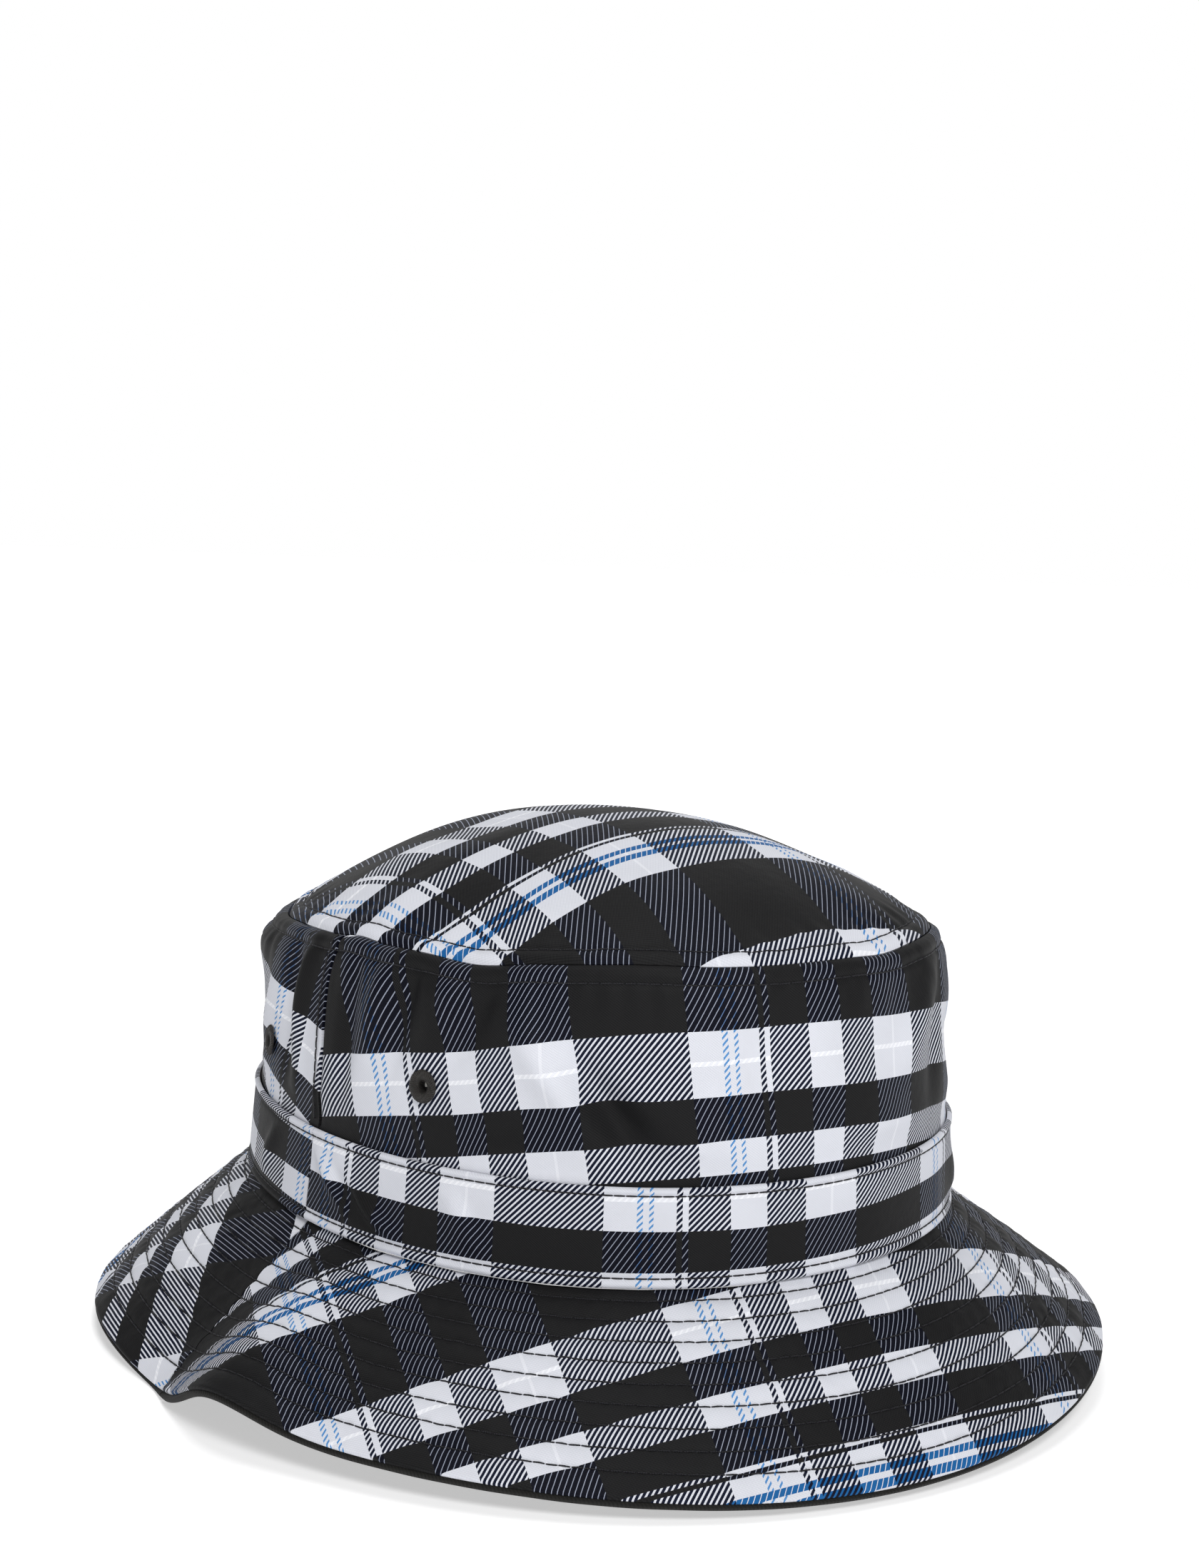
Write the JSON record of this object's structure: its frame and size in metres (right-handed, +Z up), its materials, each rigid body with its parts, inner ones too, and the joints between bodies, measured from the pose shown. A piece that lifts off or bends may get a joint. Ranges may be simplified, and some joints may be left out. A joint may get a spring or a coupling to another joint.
{
  "type": "bucket hat",
  "caption": "Bucket hat with a domed oval crown, a sewn hat band, a sloping quilted brim with a crease at one side seam, and eyelets.",
  "frame": {"origin": "middle of the hat's bounding box, on the surface that the brim stands on", "axes": "+Z up through the crown, -Y towards the front of the head, +X towards the wearer's left"},
  "size_m": [0.2626, 0.2814, 0.1376],
  "materials": {
    "plaid_cloth": "printed polyester twill, a large navy-black, white and blue plaid with diagonal print hatching and a soft satin sheen",
    "underbrim_cloth": "plain black twill, matte",
    "interlining": "pale foam-like interlining, hidden between the brim layers",
    "sweatband_cloth": "black twill sweatband, matte",
    "seam_tape": "black woven binding tape",
    "label_cloth": "plain pale woven label, blank",
    "eyelet_thread": "dark brown-black satin stitch",
    "sewing_thread": "near-black twisted sewing thread"
  },
  "bodies": {
    "root": {"top_panel": "plaid_cloth", "side_panel_front": "plaid_cloth", "side_panel_back": "plaid_cloth", "hat_band_front": "plaid_cloth", "hat_band_back": "plaid_cloth", "brim_top_front": "plaid_cloth", "brim_top_back": "plaid_cloth", "brim_under_front": "underbrim_cloth", "brim_under_back": "underbrim_cloth", "brim_interlining": "interlining", "sweatband": "sweatband_cloth", "crown_seam_tape": "seam_tape", "side_seam_tape_left": "seam_tape", "side_seam_tape_right": "seam_tape", "size_label": "label_cloth", "side_patch": "label_cloth", "eyelet_front_right": "eyelet_thread", "eyelet_back_right": "eyelet_thread", "eyelet_front_left": "eyelet_thread", "eyelet_back_left": "eyelet_thread", "side_seam_stitch_left": "sewing_thread", "side_seam_stitch_right": "sewing_thread", "top_panel_stitch": "sewing_thread", "side_panel_stitch": "sewing_thread", "band_stitch_upper": "sewing_thread", "band_stitch_lower": "sewing_thread", "brim_stitch_row_1": "sewing_thread", "brim_stitch_row_2": "sewing_thread", "brim_stitch_row_3": "sewing_thread", "brim_stitch_row_4": "sewing_thread", "brim_stitch_row_5": "sewing_thread", "brim_stitch_row_6": "sewing_thread", "brim_stitch_row_7": "sewing_thread", "brim_stitch_row_8": "sewing_thread", "brim_stitch_row_9": "sewing_thread"}
  },
  "joints": []
}
